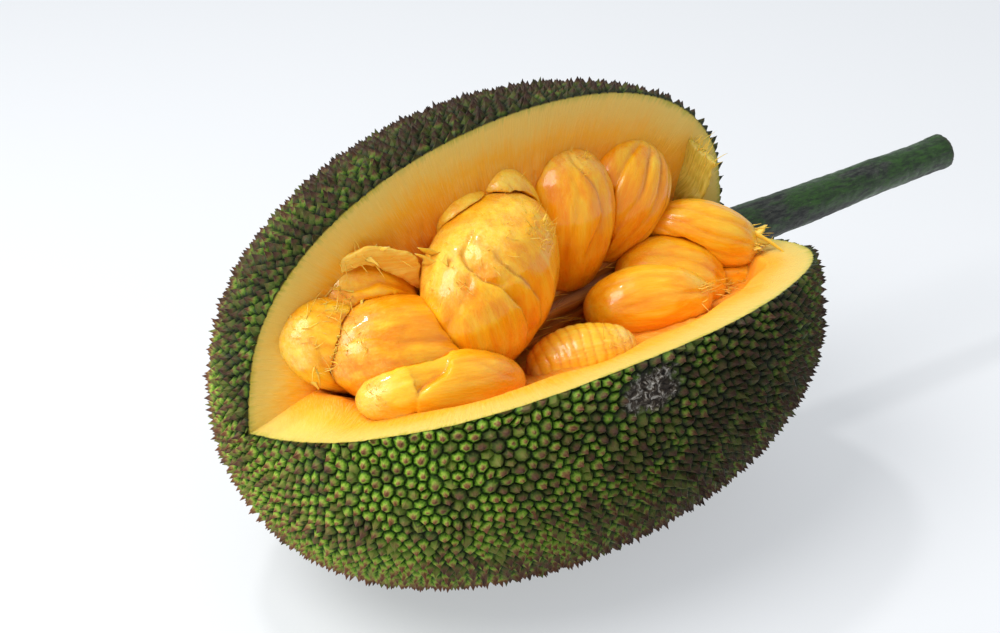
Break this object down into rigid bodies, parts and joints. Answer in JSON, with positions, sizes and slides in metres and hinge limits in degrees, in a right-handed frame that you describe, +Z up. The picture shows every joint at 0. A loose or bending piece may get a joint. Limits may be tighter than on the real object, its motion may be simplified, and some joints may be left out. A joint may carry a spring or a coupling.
{
  "type": "jackfruit",
  "caption": "Blunt oval jackfruit lying on its side, with a long wedge of spiny rind cut away so that the fleshy arils on its core show, and its woody stem left on.",
  "frame": {"origin": "on the small flat spot on the underside that the fruit rests on, straight below the middle of the fruit's long axis", "axes": "+Z up; +X along the fruit's long axis towards the stem; the wedge is cut out of the upper half on the -Y side"},
  "size_m": [0.5123, 0.2756, 0.2357],
  "materials": {
    "rind": "rough",
    "stem": "satin",
    "core": "satin",
    "aril": "gloss",
    "rag": "satin"
  },
  "bodies": {
    "root": {"rind": "rind", "stem": "stem", "core": "core", "aril_centre": "aril", "aril_left_front": "aril", "aril_front_long": "aril", "aril_right_lower": "aril", "aril_right_upper": "aril", "aril_stem_end": "aril", "aril_tall_left": "aril", "aril_tall_right": "aril", "aril_ribbed": "aril", "aril_small_top": "aril", "aril_centre_back": "aril", "aril_left_back": "aril", "aril_left_end": "aril", "aril_stem_small": "aril", "rag_left_flap": "rag", "rag_stem_fan": "rag"}
  },
  "joints": []
}
